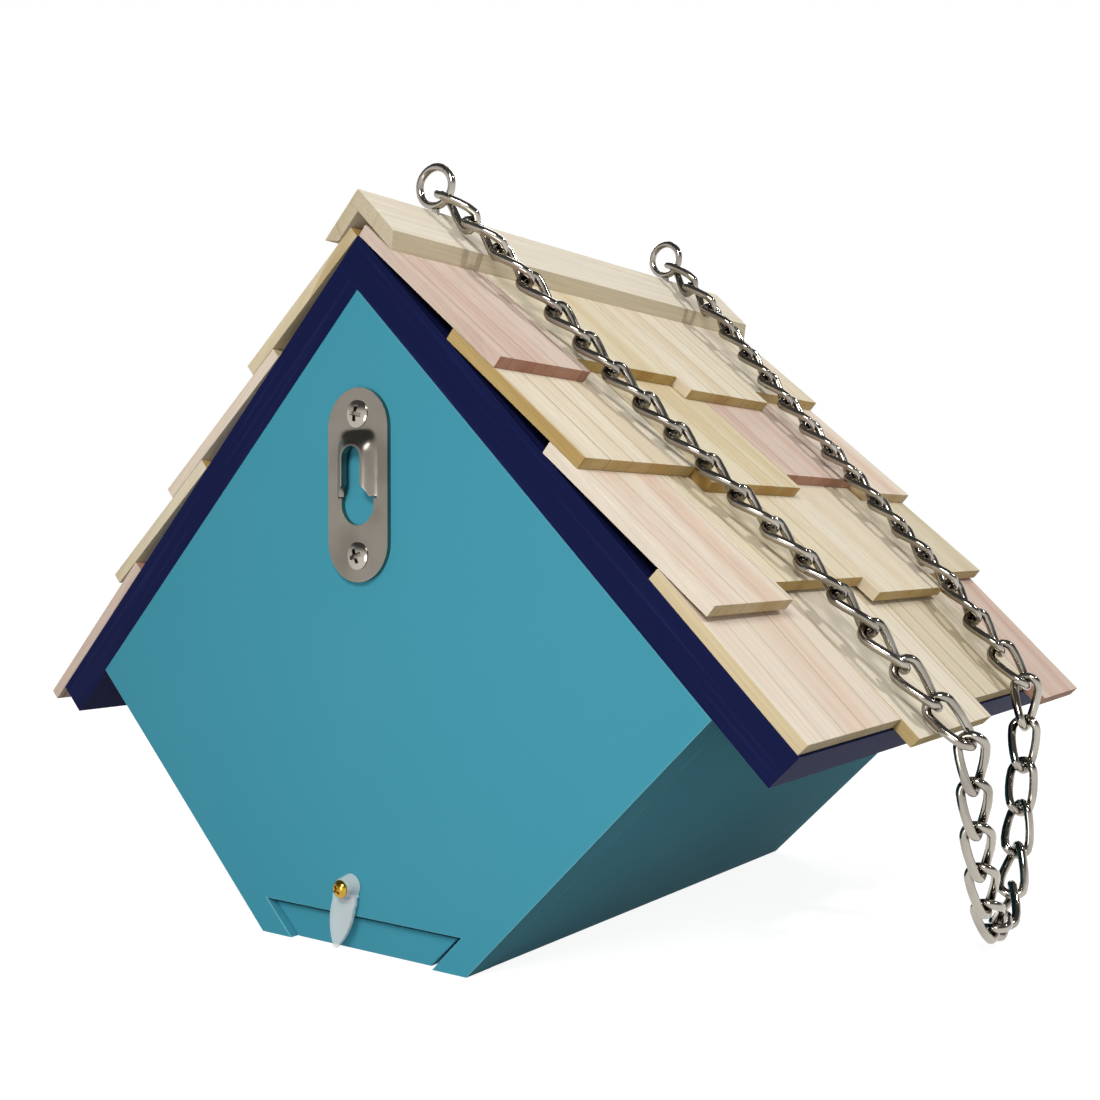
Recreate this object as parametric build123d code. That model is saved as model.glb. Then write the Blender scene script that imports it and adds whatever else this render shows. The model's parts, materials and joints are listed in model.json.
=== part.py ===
"""Hanging birdhouse: a box stood on one corner, with a shingled roof, a screw-on hanger and a chain."""
from build123d import *
import math
import os

os.makedirs("parts", exist_ok=True)

# Sizes in mm. The origin is the middle of the base, +Z is up, -Y is the back with the hanger,
# +Y is the front with the entrance, and +X is the right as seen from the back.
# All four sides of the box slope at 45 degrees.

# Box
BASE_HALF = 32.0  # half the flat base
SHOULDER_HALF = 93.0  # half the width where a wall meets the roof
BODY_DEPTH = 152.0  # outside of the back panel to outside of the front panel
PANEL_T = 9.0
WALL_T = 7.0
ENTRANCE_D = 32.0
ENTRANCE_BELOW = 62.0  # its middle, down from the panel's top corner

# Sliding floor
FLOOR_T = 7.8
FLOOR_RECESS = 2.0  # how far its end stands in from the back face
FLOOR_FIT = 0.5  # sideways, between the floor and the walls
NOTCH_GAP = 0.7  # between the floor's top and the notch above it

# Roof
ROOF_T = 9.0
ROOF_SLOPE = 157.5  # ridge line to eave, down the slope
ROOF_OVERHANG = 18.0  # past the front panel
ROOF_SET_BACK = 0.4  # the back panel stands this far behind the roof's end
BOARD_FIT = 0.05  # between two boards that butt

# Shingles
SHINGLE_T = 3.0
SHINGLE_LONG = 51.6
SHINGLE_SHORT = 46.0
SHINGLE_START = 0.3  # upper end of the first course, down from the ridge line
COURSE_PITCH = 36.9
COURSES = 4
ODD_SEAMS = (35.0, 82.5, 127.5)  # column joints of courses 1 and 3, from the back end
EVEN_SEAMS = (46.5, 94.0, 138.0)  # and of courses 2 and 4
SEAM_GAP = 0.3
LAY_GAP = 0.05  # between a piece and what it lies on

# Ridge cap
CAP_T = 3.6
CAP_RIGHT_LOW = 10.5  # lower edge of the right board, down from the ridge line
CAP_LEFT_LOW = 7.4
CAP_BEVEL = 2.6  # how much longer the right board is underneath, and the left one on top
CAP_OVERHANG = 3.0  # past the front of the roof

# Screw eyes
EYE_D = 11.6  # outside the ring
EYE_WIRE = 2.0
EYE_RISE = 0.4  # ring above the ridge cap
EYE_INSET_REAR = 28.0  # from each end of the roof
EYE_INSET_FRONT = 30.0
EYE_SHANK = 20.0
EYE_OPENING = 10.0  # gap in the ring, in degrees
EYE_OPENING_AT = 50.0  # up from +X
SCREW_FIT = 0.03  # between a shank and its hole

# Chain of twisted links
WIRE_D = 1.85
WIRE_SIDES = 6  # of the bars that stand for the wire
LINK_PITCH = 10.55
LINK_BEND = 3.0  # wire's middle to link's middle, at both ends
LINK_SLACK = 0.25
REAR_LINKS = 17
LOOP_LINKS = 12
FRONT_LINKS = 16
REAR_DRIFT = 29.0  # along the roof toward the middle, from eye to eave
FRONT_DRIFT = -22.0
CHAIN_LAY = 0.1  # between the chain and the shingles it lies on
CAP_LAY = 0.55  # the same over the ridge cap
EAVE_LAY = 1.7  # and over the eave, where the chain bends down
RING_SLACK = 0.4
RING_HOOK = 55.0  # where the first link hangs in the ring, in degrees below level
BEND_SLACK = 0.35
LINK_REST = 45.0  # how far a link on the roof is rolled over, in degrees
LINK_ROLL = 15.0  # most that a link rolls from the one before
LOOP_ROLL = 18.0  # from each link to the next, up the front side of the loop

# Keyhole hanger
HANGER_H = 45.0
HANGER_W = 18.5
HANGER_T = 1.2
HANGER_X = 1.1
HANGER_BELOW = 45.2  # its middle, down from the panel's top corner
HANGER_SCREWS = 32.8  # between the two screws
KEYHOLE_D = 10.0
KEYHOLE_DOWN = 4.3  # round part below the plate's middle
SLOT_W = 5.7
SLOT_UP = 9.0  # top of the slot above the plate's middle
HOOD_W = 14.0
HOOD_UP = 12.7
HOOD_DOWN = 2.8
HOOD_H = 2.6
HOOD_WALL = 0.9
HOOD_CORNER = 4.0
HOOD_TAPER = 18.0
HANGER_HEAD_D = 6.4
HANGER_SHANK_D = 3.0
HANGER_SHANK = 7.0
HEAD_RIM = 0.4  # how far the head stands out of the plate
HEAD_FIT = 0.1
RECESS_W = 0.8
RECESS_D = 0.9

# Turn button
BUTTON_X = -2.0
BUTTON_Z = 15.5
BUTTON_REACH = 15.2
BUTTON_LEAN = 14.5  # tip toward -X, in degrees
BUTTON_BOSS_D = 6.6
BUTTON_BOSS_H = 3.4
BUTTON_NECK = 5.2
BUTTON_WIDTH = 7.6
BUTTON_TIP = 1.8
BUTTON_T = 1.8
BUTTON_GAP = 0.3  # between the button and the back face
BUTTON_FIT = 0.3  # between the button and its screw
BRASS_HEAD_D = 4.2
BRASS_HEAD_H = 1.4
BRASS_SHANK_D = 2.2
BRASS_SHANK = 7.0

# Worked out from the sizes above
HALF = math.sqrt(0.5)
BACK = -BODY_DEPTH / 2
FRONT = BODY_DEPTH / 2
SHOULDER_Z = SHOULDER_HALF - BASE_HALF
INNER_APEX = SHOULDER_Z + SHOULDER_HALF
RIDGE_Z = INNER_APEX + ROOF_T / HALF
ROOF_BACK = BACK + ROOF_SET_BACK
ROOF_FRONT = FRONT + ROOF_OVERHANG
INNER_BASE = BASE_HALF - WALL_T / HALF
ENTRANCE_Z = INNER_APEX - ENTRANCE_BELOW
HANGER_Z = INNER_APEX - HANGER_BELOW
TILT = math.atan(SHINGLE_T / COURSE_PITCH)
CAP_SEAT = SHINGLE_T / math.cos(TILT) + (CAP_RIGHT_LOW - SHINGLE_START) * math.tan(TILT) + LAY_GAP * COURSES
CAP_TOP = CAP_SEAT + CAP_T
CAP_RIDGE = RIDGE_Z + CAP_TOP / HALF
EYE_RING = (EYE_D - EYE_WIRE) / 2
EYE_Z = CAP_RIDGE + EYE_RISE + EYE_D / 2
EYE_REAR = ROOF_BACK + EYE_INSET_REAR
EYE_FRONT = ROOF_FRONT - EYE_INSET_FRONT
LINK_HALF = (LINK_PITCH + LINK_SLACK + WIRE_D) / 2


def save(shape, name):
    export_step(shape, f"parts/{name}.step")


def along_y(points, y0, y1):
    """A board of constant section: the outline in X and Z, from y0 to y1."""
    face = make_face(Polyline(*[(x, y0, z) for x, z in points], close=True))
    return extrude(face, amount=y1 - y0, dir=(0, 1, 0))


def slope_point(s, t):
    """X and Z of a point on the right slope: s down from the ridge line, t out from the roof board."""
    return (s + t) * HALF, RIDGE_Z + (t - s) * HALF


def slope_board(points, y0, y1):
    return along_y([slope_point(s, t) for s, t in points], y0, y1)


def to_left(shape):
    return mirror(shape, about=Plane.YZ)


def facing_back(x, z, y=BACK):
    """A plane on the back face, with its Z out of the face."""
    return Plane((x, y, z), x_dir=(1, 0, 0), z_dir=(0, -1, 0))


def eye_hole(y):
    """Room for a screw eye's shank through the ridge."""
    return Pos(0, y, EYE_Z) * Cylinder(EYE_WIRE / 2 + SCREW_FIT, 4 * EYE_SHANK)


EYE_HOLES = [eye_hole(EYE_REAR), eye_hole(EYE_FRONT)]


def screw_hole(x, z, diameter, depth):
    return facing_back(x, z) * Pos(0, 0, -depth / 2) * Cylinder(diameter / 2 + SCREW_FIT, depth)


def box_outline():
    right = [(BASE_HALF, 0), (SHOULDER_HALF, SHOULDER_Z)]
    left = [(-x, z) for x, z in reversed(right)]
    return right + [(0, INNER_APEX)] + left


def make_back_panel():
    notch_z = FLOOR_T + NOTCH_GAP
    notch = [(INNER_BASE - 1, -1), (INNER_BASE + notch_z, notch_z)]
    notch += [(-x, z) for x, z in reversed(notch)]
    panel = along_y(box_outline(), BACK, BACK + PANEL_T)
    panel -= along_y(notch, BACK - 1, BACK + PANEL_T + 1)
    for side in (-1, 1):
        z = HANGER_Z + side * HANGER_SCREWS / 2
        panel -= screw_hole(HANGER_X, z, HANGER_SHANK_D, HANGER_SHANK + SCREW_FIT)
    return panel - screw_hole(BUTTON_X, BUTTON_Z, BRASS_SHANK_D, BRASS_SHANK + SCREW_FIT)


def make_front_panel():
    panel = along_y(box_outline(), FRONT - PANEL_T, FRONT)
    return panel - facing_back(0, ENTRANCE_Z, FRONT) * Cylinder(ENTRANCE_D / 2, 4 * PANEL_T)


def make_right_wall():
    inner_top = (INNER_APEX - INNER_BASE) / 2
    section = [
        (BASE_HALF, 0),
        (SHOULDER_HALF, SHOULDER_Z),
        (INNER_BASE + inner_top, inner_top),
        (INNER_BASE, 0),
    ]
    return along_y(section, BACK + PANEL_T, FRONT - PANEL_T)


def make_floor():
    half = INNER_BASE - FLOOR_FIT
    section = [(half, 0), (half + FLOOR_T, FLOOR_T), (-half - FLOOR_T, FLOOR_T), (-half, 0)]
    return along_y(section, BACK + FLOOR_RECESS, FRONT - PANEL_T - FLOOR_FIT)


def make_roof_board(upper_end):
    section = [(upper_end, 0), (ROOF_SLOPE, 0), (ROOF_SLOPE, -ROOF_T), (upper_end, -ROOF_T)]
    return slope_board(section, ROOF_BACK, ROOF_FRONT) - EYE_HOLES


def make_cap_right():
    section = [
        (-CAP_TOP, CAP_TOP),
        (CAP_RIGHT_LOW - CAP_BEVEL, CAP_TOP),
        (CAP_RIGHT_LOW, CAP_SEAT),
        (-CAP_TOP, CAP_SEAT),
    ]
    return slope_board(section, ROOF_BACK, ROOF_FRONT + CAP_OVERHANG) - EYE_HOLES


def make_cap_left():
    upper_end = -CAP_SEAT + BOARD_FIT
    section = [
        (upper_end, CAP_TOP),
        (CAP_LEFT_LOW, CAP_TOP),
        (CAP_LEFT_LOW - CAP_BEVEL, CAP_SEAT),
        (upper_end, CAP_SEAT),
    ]
    board = to_left(slope_board(section, ROOF_BACK, ROOF_FRONT + CAP_OVERHANG))
    return board - EYE_HOLES


def make_shingle(course, column, long):
    """One shingle of the right slope. Every course but the last leans on the one below it."""
    seams = EVEN_SEAMS if course % 2 == 0 else ODD_SEAMS
    ends = [0, *seams, ROOF_FRONT - ROOF_BACK]
    y0 = ROOF_BACK + ends[column - 1] + (SEAM_GAP / 2 if column > 1 else 0)
    y1 = ROOF_BACK + ends[column] - (SEAM_GAP / 2 if column < len(ends) - 1 else 0)
    lean = TILT if course < COURSES else 0
    length = SHINGLE_LONG if long else SHINGLE_SHORT
    top = SHINGLE_START + (course - 1) * COURSE_PITCH
    down = (math.cos(lean), math.sin(lean))
    out = (-math.sin(lean), math.cos(lean))
    section = []
    for a, b in ((0, 0), (length, 0), (length, SHINGLE_T), (0, SHINGLE_T)):
        lift = b + LAY_GAP * (COURSES - course)
        section.append((top + a * down[0] + lift * out[0], a * down[1] + lift * out[1]))
    board = slope_board(section, y0, y1)
    return board - EYE_HOLES if course == 1 else board


def make_eye(y):
    """A screw eye: an open ring of eight-sided wire on a pointed round shank."""
    wire = Plane.XZ * Pos(EYE_RING, 0) * RegularPolygon(EYE_WIRE / 2, 8)
    ring = revolve(wire, axis=Axis.Z, revolution_arc=360 - EYE_OPENING)
    ring = Rot(90, 0, 0) * Rot(0, 0, EYE_OPENING_AT + EYE_OPENING / 2) * ring
    radius = EYE_WIRE / 2
    low = -EYE_RING - EYE_SHANK
    outline = [(0, low), (radius, low + EYE_WIRE), (radius, -EYE_RING), (0, -EYE_RING)]
    shank = revolve(make_face(Plane.XZ * Polyline(*outline, close=True)), axis=Axis.Z)
    return Pos(0, y, EYE_Z) * (ring + shank)


def solve(rising, low, high):
    """The value between low and high where a rising function passes zero."""
    for _ in range(60):
        middle = (low + high) / 2
        if rising(middle) < 0:
            low = middle
        else:
            high = middle
    return middle


def link_route(slant):
    """Corners of a link lying along Z, its upper end spread along X and its lower end along Y.

    Each end is a level bar between two that slant, all three touching a half circle outside it.
    Each leg winds a quarter turn about the link's middle, in two bars.
    """
    shoulder = LINK_HALF - LINK_BEND + LINK_BEND * math.tan(slant / 2)
    crown = LINK_BEND * math.tan(math.pi / 4 - slant / 2)
    end = [(LINK_BEND, shoulder), (crown, LINK_HALF), (-crown, LINK_HALF), (-LINK_BEND, shoulder)]
    waist = LINK_BEND * HALF
    upper = [Vector(u, 0, -w) for u, w in end] + [Vector(-waist, waist, 0)]
    return upper + [Vector(0, u, w) for u, w in end] + [Vector(waist, -waist, 0)]


def bar_runs(route):
    return [b - a for a, b in zip(route, route[1:] + route[:1])]


def carried(across, before, after):
    """A direction across one bar, carried through the mitre to the next bar."""
    mitre = (before.normalized() + after.normalized()).normalized()
    return across - mitre * (2 * across.dot(mitre))


def closing_turn(route):
    """Degrees that a direction across the last bar turns when it is carried once round the link."""
    runs = bar_runs(route)
    start = runs[-1].cross(runs[0]).normalized()
    across = start
    for i in range(len(runs)):
        across = carried(across, runs[i - 1], runs[i])
    return math.degrees(math.atan2(start.cross(across).dot(runs[-1].normalized()), start.dot(across)))


def make_link():
    """A twisted link: one loop of straight bars, mitred where they meet.

    The slant of the end bars is the one at which the last bar's sides meet the first bar's.
    """
    turn = 2 * 360 / WIRE_SIDES
    slant = solve(lambda a: turn - closing_turn(link_route(a)), math.radians(30), math.radians(80))
    route = link_route(slant)
    runs = bar_runs(route)
    across = runs[-1].cross(runs[0])
    bars = []
    for i, start in enumerate(route):
        before, run, after = runs[i - 1], runs[i], runs[(i + 1) % len(runs)]
        across = carried(across, before, run)
        foot = Plane(start - run.normalized() * WIRE_D, x_dir=across, z_dir=run)
        bar = extrude(foot * RegularPolygon(WIRE_D / 2, WIRE_SIDES), amount=run.length + 2 * WIRE_D)
        bar = split(bar, Plane(start, z_dir=before.normalized() + run.normalized()), keep=Keep.TOP)
        end = Plane(start + run, z_dir=run.normalized() + after.normalized())
        bars.append(split(bar, end, keep=Keep.BOTTOM))
    return bars[0].fuse(*bars[1:])


def hanging_joints(start, end, count):
    """Upper wires of equal links, in a chain that hangs freely between two points."""
    level = Vector(end.X - start.X, end.Y - start.Y, 0)

    def run(lowest, pull):
        slopes = [math.atan((i + 0.5 - lowest) / pull) for i in range(count)]
        return [(LINK_PITCH * math.cos(a), LINK_PITCH * math.sin(a)) for a in slopes]

    def lowest_link(pull):
        rise = end.Z - start.Z
        return solve(lambda i: rise - sum(z for _, z in run(i, pull)), -count, 2 * count)

    pull = solve(lambda p: sum(x for x, _ in run(lowest_link(p), p)) - level.length, 0.01, 100)
    joints = [start]
    for x, z in run(lowest_link(pull), pull):
        joints.append(joints[-1] + level.normalized() * x + Vector(0, 0, z))
    return joints


def strand_joints(eye_y, drift, count):
    """Upper wires of a strand's links, from a screw eye down the right slope and over the eave."""
    lie = LINK_BEND * HALF + WIRE_D / 2
    butt_top = SHINGLE_T + SHINGLE_LONG * math.sin(TILT)
    centre = EYE_Z - RIDGE_Z
    from_ring = EYE_RING - EYE_WIRE / 2 - RING_SLACK - WIRE_D / 2
    hook = math.radians(RING_HOOK - 45)
    ring = (-centre * HALF + from_ring * math.cos(hook), centre * HALF - from_ring * math.sin(hook))
    cap = (CAP_RIGHT_LOW - CAP_BEVEL, CAP_TOP + LINK_BEND + WIRE_D / 2 + CAP_LAY)
    route = [ring, cap]
    for course in range(COURSES - 1):
        butt = SHINGLE_START + course * COURSE_PITCH + SHINGLE_LONG
        route.append((butt, butt_top + lie + CHAIN_LAY))
    route.append((ROOF_SLOPE, SHINGLE_T + lie + EAVE_LAY))
    lengths = [math.dist(a, b) for a, b in zip(route, route[1:])]
    total = math.sqrt((count * LINK_PITCH) ** 2 - drift**2)
    joints = []
    for i in range(count + 1):
        gone = total * i / count
        leg = 0
        while leg < len(lengths) - 1 and gone > lengths[leg]:
            gone -= lengths[leg]
            leg += 1
        share = gone / lengths[leg]
        s, t = (a + (b - a) * share for a, b in zip(route[leg], route[leg + 1]))
        x, z = slope_point(s, t)
        joints.append(Vector(x, eye_y + drift * i / count, z))
    return joints


def loop_joints(rear, front):
    """Upper wires of the loop's links, hung from the last links of the two strands."""
    rear_run = (rear[-1] - rear[-2]).normalized()
    front_run = (front[-1] - front[-2]).normalized()
    hook = WIRE_D + BEND_SLACK
    from_wire = rear[-2] + rear_run * (2 * LINK_HALF)
    to_wire = front[-2] + front_run * (2 * LINK_HALF)
    first, last = Vector(0, 0, -1), Vector(0, 0, 1)
    for _ in range(8):
        start = from_wire - first * hook
        end = to_wire + last * (hook + LINK_PITCH - 2 * LINK_HALF)
        joints = hanging_joints(start, end, LOOP_LINKS)
        first = (joints[1] - joints[0]).normalized()
        last = (joints[-1] - joints[-2]).normalized()
    return joints


def chain_of(link, joints, spreads):
    """Copies of a link, from each joint toward the next, each upper end spread in its own direction."""
    links = []
    for a, b, spread in zip(joints, joints[1:], spreads):
        run = (b - a).normalized()
        place = Plane(a + run * LINK_HALF, x_dir=spread - run * spread.dot(run), z_dir=run)
        links.append(link.moved(place.location))
    return links


def strand_spreads(count):
    """Spread directions of a strand's links, from square to the screw eye to what the loop needs."""
    spreads = []
    for i in range(count):
        roll = max(LINK_REST, 90 - LINK_ROLL * (count - 1 - i))
        roll = math.radians(min(roll, LINK_ROLL * i))
        spreads.append(Vector(math.sin(roll) * HALF, math.cos(roll), math.sin(roll) * HALF))
    return spreads


def loop_spreads(joints):
    """Spread directions of the loop's links, a quarter turn on by its last link."""
    along = (joints[-1] - joints[0]).normalized()
    across = Vector(along.Y, -along.X, 0)
    count = len(joints) - 1
    spreads = []
    for i in range(count):
        run = (joints[i + 1] - joints[i]).normalized()
        roll = math.radians(max(0, 90 - LOOP_ROLL * (count - 1 - i)))
        spreads.append(across * math.cos(roll) + run.cross(across) * math.sin(roll))
    return spreads


def make_chain():
    """Rear strand, hanging loop and front strand, as lists of links."""
    link = make_link()
    rear = strand_joints(EYE_REAR, REAR_DRIFT, REAR_LINKS)
    front = strand_joints(EYE_FRONT, FRONT_DRIFT, FRONT_LINKS)
    loop = loop_joints(rear, front)
    return (
        chain_of(link, rear, strand_spreads(REAR_LINKS)),
        chain_of(link, loop, loop_spreads(loop)),
        chain_of(link, front, strand_spreads(FRONT_LINKS)),
    )


def make_hanger():
    """Pressed keyhole plate, with a hood that leaves room for a screw head behind the slot."""
    face = facing_back(HANGER_X, HANGER_Z)
    plate = extrude(face * SlotOverall(HANGER_H, HANGER_W, rotation=90), amount=HANGER_T)
    keyhole = Pos(0, -KEYHOLE_DOWN) * Circle(KEYHOLE_D / 2)
    slot_h = SLOT_UP + KEYHOLE_DOWN + SLOT_W / 2
    slot_middle = SLOT_UP - slot_h / 2
    keyhole += Pos(0, slot_middle) * SlotOverall(slot_h, SLOT_W, rotation=90)

    def hood(inset, height):
        low = -HANGER_H / 2
        high = HOOD_UP - inset
        outline = RectangleRounded(HOOD_W - 2 * inset, high - low, HOOD_CORNER - inset)
        block = extrude(face * Pos(0, (high + low) / 2) * outline, amount=height, taper=HOOD_TAPER)
        mouth = Plane(face.from_local_coords((0, -HOOD_DOWN, 0)), z_dir=(0, 0, 1))
        return split(block, mouth, keep=Keep.TOP)

    plate += hood(0, HANGER_T + HOOD_H)
    plate -= hood(HOOD_WALL, HANGER_T + HOOD_H - HOOD_WALL)
    plate -= extrude(face * keyhole, amount=2 * (HANGER_T + HOOD_H))
    for side in (-1, 1):
        plate -= face * Pos(0, side * HANGER_SCREWS / 2, 0) * hanger_screw_body(HEAD_FIT)
    return plate


def hanger_screw_body(grow):
    """Countersunk screw along its own -Z, its head seated in the plate; grown to cut the plate's hole."""
    head = HANGER_HEAD_D / 2 + grow
    shank = HANGER_SHANK_D / 2 + grow
    top = HANGER_T + HEAD_RIM
    outline = [(0, -HANGER_SHANK), (shank * 0.5, -HANGER_SHANK), (shank, -HANGER_SHANK + 2), (shank, 0)]
    outline += [(head, HANGER_T), (head, top), (0, top)]
    return revolve(make_face(Plane.XZ * Polyline(*outline, close=True)), axis=Axis.Z)


def make_hanger_screws():
    screws = []
    for side in (-1, 1):
        place = facing_back(HANGER_X, HANGER_Z + side * HANGER_SCREWS / 2)
        recess = make_recess(HANGER_T + HEAD_RIM, HANGER_HEAD_D)
        screws.append(place * (hanger_screw_body(0) - recess))
    return screws


def make_dome(diameter, height):
    """A low round cap on the XY plane."""
    radius = (diameter**2 / 4 + height**2) / (2 * height)
    ball = Pos(0, 0, height - radius) * Sphere(radius)
    return split(ball, Plane.XY, keep=Keep.TOP)


def make_recess(top, head):
    """Cross recess for a driver, down from the top of a head."""
    arm = head * 0.55
    deep = Pos(0, 0, top - RECESS_D / 2 + 0.2)
    return deep * Box(arm, RECESS_W, RECESS_D + 0.4) + deep * Box(RECESS_W, arm, RECESS_D + 0.4)


def make_button():
    """Plastic turn button: a leaf on a round boss, pointing down before it leans."""
    half_neck, half_width, half_tip = BUTTON_NECK / 2, BUTTON_WIDTH / 2, BUTTON_TIP / 2
    neck_z, wide_z, tip_z = 0, -BUTTON_REACH * 0.45, -BUTTON_REACH + half_tip
    right = ThreePointArc((half_neck, neck_z), (half_width, wide_z), (half_tip, tip_z))
    tip = ThreePointArc((half_tip, tip_z), (0, -BUTTON_REACH), (-half_tip, tip_z))
    left = ThreePointArc((-half_tip, tip_z), (-half_width, wide_z), (-half_neck, neck_z))
    blade = make_face(right + tip + left + Line((-half_neck, neck_z), (half_neck, neck_z)))
    boss = Circle(BUTTON_BOSS_D / 2)
    body = extrude(blade, amount=BUTTON_T) + extrude(boss, amount=BUTTON_BOSS_H)
    body -= Cylinder(BRASS_SHANK_D / 2 + BUTTON_FIT, 4 * BUTTON_BOSS_H)
    place = facing_back(BUTTON_X, BUTTON_Z, BACK - BUTTON_GAP)
    return place * Rot(0, 0, -BUTTON_LEAN) * body


def make_button_screw():
    place = facing_back(BUTTON_X, BUTTON_Z)
    head_z = BUTTON_GAP + BUTTON_BOSS_H + BUTTON_FIT
    shank = BRASS_SHANK_D / 2
    outline = [(0, -BRASS_SHANK), (shank * 0.5, -BRASS_SHANK), (shank, -BRASS_SHANK + 2)]
    outline += [(shank, head_z), (0, head_z)]
    body = revolve(make_face(Plane.XZ * Polyline(*outline, close=True)), axis=Axis.Z)
    body += Pos(0, 0, head_z) * make_dome(BRASS_HEAD_D, BRASS_HEAD_H)
    return place * (body - make_recess(head_z + BRASS_HEAD_H, BRASS_HEAD_D))


save(make_back_panel(), "back_panel")
save(make_front_panel(), "front_panel")
save(make_right_wall(), "right_wall")
save(to_left(make_right_wall()), "left_wall")
save(make_floor(), "sliding_floor")
save(make_roof_board(0), "right_roof_board")
save(to_left(make_roof_board(ROOF_T + BOARD_FIT)), "left_roof_board")
save(make_cap_right(), "ridge_cap_right")
save(make_cap_left(), "ridge_cap_left")
for course in range(1, COURSES + 1):
    for column in range(1, len(ODD_SEAMS) + 2):
        even = (course + column) % 2 == 0
        save(make_shingle(course, column, even), f"shingle_right_{course}_{column}")
        save(to_left(make_shingle(course, column, not even)), f"shingle_left_{course}_{column}")
eyes = [make_eye(EYE_REAR), make_eye(EYE_FRONT)]
save(Compound(eyes), "eye_screws")
save(make_hanger(), "keyhole_hanger")
save(Compound(make_hanger_screws()), "hanger_screws")
save(make_button(), "turn_button")
save(make_button_screw(), "turn_button_screw")
rear_links, loop_links, front_links = make_chain()
save(Compound(rear_links), "chain_rear_strand")
save(Compound(loop_links), "chain_loop")
save(Compound(front_links), "chain_front_strand")
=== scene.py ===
"""Looks of a hanging birdhouse: painted boards, softwood shingles, nickel hardware and a twisted chain."""
import json
import math
import random

import bpy
import numpy as np
from mathutils import Matrix, Vector


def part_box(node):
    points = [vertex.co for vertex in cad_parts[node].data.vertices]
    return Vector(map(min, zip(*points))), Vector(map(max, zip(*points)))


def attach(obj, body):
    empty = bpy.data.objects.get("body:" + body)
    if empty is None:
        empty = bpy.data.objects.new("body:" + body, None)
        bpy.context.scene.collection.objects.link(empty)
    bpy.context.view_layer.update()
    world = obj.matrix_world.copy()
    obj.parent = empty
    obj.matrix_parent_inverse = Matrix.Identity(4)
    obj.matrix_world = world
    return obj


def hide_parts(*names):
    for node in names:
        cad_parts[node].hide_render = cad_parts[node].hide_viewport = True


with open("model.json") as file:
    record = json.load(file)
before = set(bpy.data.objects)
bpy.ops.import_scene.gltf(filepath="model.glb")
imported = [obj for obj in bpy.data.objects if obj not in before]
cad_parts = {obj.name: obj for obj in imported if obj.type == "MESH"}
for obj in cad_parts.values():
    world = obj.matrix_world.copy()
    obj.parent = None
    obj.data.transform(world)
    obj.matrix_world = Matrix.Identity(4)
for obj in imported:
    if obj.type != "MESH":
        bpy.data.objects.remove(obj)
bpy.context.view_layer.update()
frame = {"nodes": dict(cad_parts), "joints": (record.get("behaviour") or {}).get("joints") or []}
NODES = frame["nodes"]
JOINTS = {joint["name"]: joint for joint in frame["joints"]}
MM = 0.001

# Camera, fitted to the corners of the photographed house
CAMERA_AT = (0.22372, -0.31399, 0.09609)
CAMERA_TURN = (89.577, 0.09, 35.371)  # degrees
CAMERA_LENS = 45.64
CAMERA_NEAR = 0.01

# Light, with each lamp's place, what it is aimed at, its width and its power
LAMPS = {
    "top": ((0.65, 0.27, 0.75), (0.03, 0, 0.12), 0.07, 2.85),
    "front": ((0.4, -0.85, 0.72), (0, 0, 0.06), 0.35, 6.5),
    "fill": ((0.06, -0.3, 0.05), (0.06, 0, 0.05), 0.12, 0.15),
    "far": ((-0.5, 0.8, 0.6), (0, 0, 0.1), 0.5, 2.5),
}
WHITE = (1, 1, 1, 1)
EVEN_LIGHT = 0.4
FLOOR_SIZE = 30
FLOOR_LIFT = 0.91

# Meshes
SAME_POINT = 0.002 * MM  # points nearer than that are merged
SAME_PLANE = 0.5  # degrees between faces that are made one
SHARP = 28  # degrees from which an edge is softened
SMOOTH = 40  # degrees up to which shading runs on
TURN_STEPS = 40
DOME_STEPS = 6
EYE_POINTS = 21

# Softened edges
PAINT_EDGE = 0.35 * MM
SAWN_EDGE = 0.22 * MM
PRESSED_EDGE = 0.3 * MM
MOULDED_EDGE = 0.3 * MM
RECESS_EDGE = 0.07 * MM

# Slots of a board's materials: its faces, its edges or sawn ends, and its bare side
FACE, EDGE, INSIDE = range(3)

# Boards in the log, as offsets from the pith to a board's middle
BOARD_PITH = (80 * MM, 20 * MM, 0)
PITH_ASIDE = (50 * MM, 110 * MM)
PITH_BELOW = (5 * MM, 25 * MM)
LOG_LENGTH = 3
FIBRE_SLANT = 0.05
FLAT_ON = 0.99  # cosine from which a face looks straight at the nest
TURNED_TO = 0.7  # cosine from which a face is turned to a direction

# Sliding floor, where it shows in the back panel's notch
FLOOR_NARROWER = 1.3 * MM  # on the right, as the photograph shows its gap
FLOOR_LOWER = 0.3 * MM

# Chain
WIRE = 2.1 * MM  # thicker than the solids' bars, as photographed, with the same room inside the bends
LINK_BEND = 2.9 * MM  # wire's middle to link's middle
LINK_HALF = 6.45 * MM  # link's middle to the middle of its end wire
LINK_STEP = 22.5  # degrees from one point of the oval to the next
# How far a strand's links are rolled on, in degrees, by their share of the way down from the screw eye
STRAND_ROLLS = {
    "chain_rear_strand": ((0, 0), (0.4, 0), (0.8, 10), (1, 0)),
    "chain_front_strand": ((0, 0), (0.25, 8), (0.55, 8), (0.85, 25), (1, 12)),
    "chain_loop": ((0, 0), (1, 0)),
}

# Screw eyes
EYE_WIRE = 2.0 * MM
EYE_RING = 4.8 * MM  # to the wire's middle
EYE_OPENING = 3  # degrees
EYE_OPENING_AT = 50  # degrees up from +X
EYE_SHANK = 20 * MM
EYE_TURNS = (5, 0)  # rear and front ring about the shank, in degrees

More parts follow.
